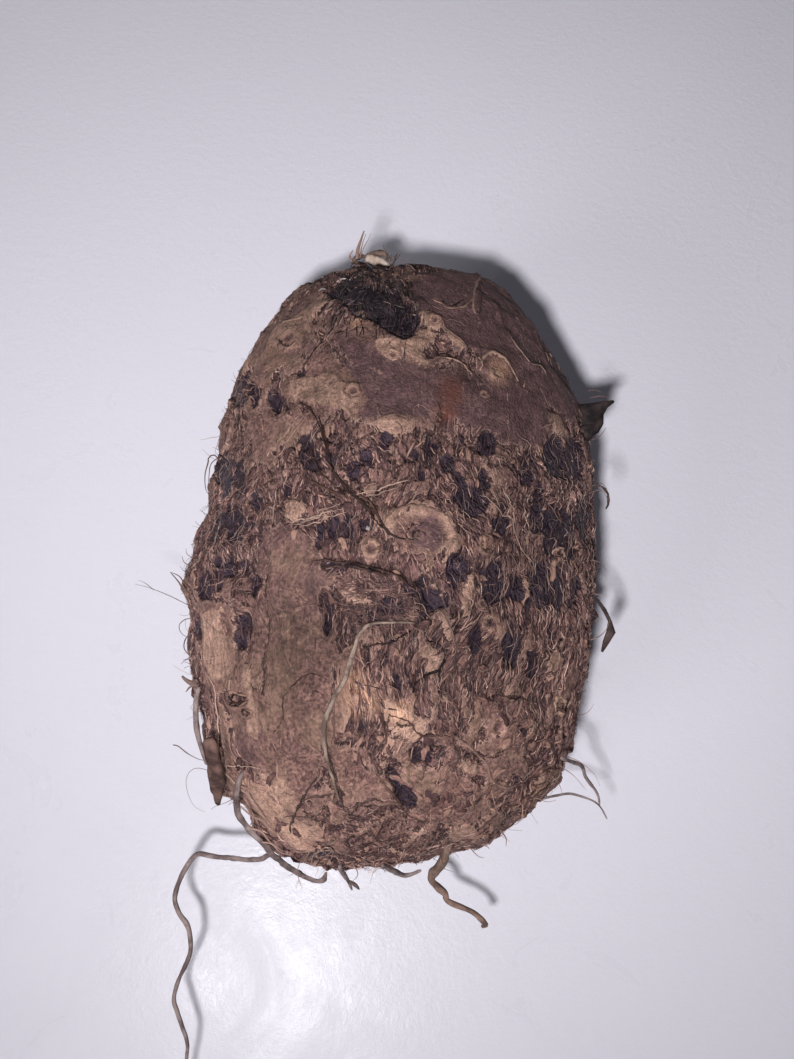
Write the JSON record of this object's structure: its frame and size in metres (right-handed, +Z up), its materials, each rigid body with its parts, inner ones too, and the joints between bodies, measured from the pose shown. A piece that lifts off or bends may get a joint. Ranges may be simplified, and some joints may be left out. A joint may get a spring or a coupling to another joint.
{
  "type": "taro corm",
  "caption": "Whole unpeeled taro corm lying on its side, with ringed, fibrous brown skin and stiff dry roots at its foot end.",
  "frame": {"origin": "middle of the small flat on the underside that the corm rests on", "axes": "+Y along the corm from the foot to the shoot end, +X across it, +Z up"},
  "size_m": [0.0678, 0.1326, 0.0626],
  "materials": {
    "corm_skin": "matte, fibrous",
    "dry_root": "matte, wrinkled",
    "pale_root": "matte",
    "red_stub": "matte",
    "skin_scrap": "matte, papery",
    "shoot_tissue": "matte"
  },
  "bodies": {
    "root": {"corm": "corm_skin", "shoot_stub": "shoot_tissue", "trailing_root": "dry_root", "strap_root": "dry_root", "hook_root": "dry_root", "under_root": "dry_root", "forked_rootlet": "dry_root", "side_root": "dry_root", "lower_right_root": "dry_root", "shoulder_root": "dry_root", "surface_root": "pale_root", "flat_root_stub": "red_stub", "right_curl": "skin_scrap", "side_flap": "skin_scrap"}
  },
  "joints": []
}
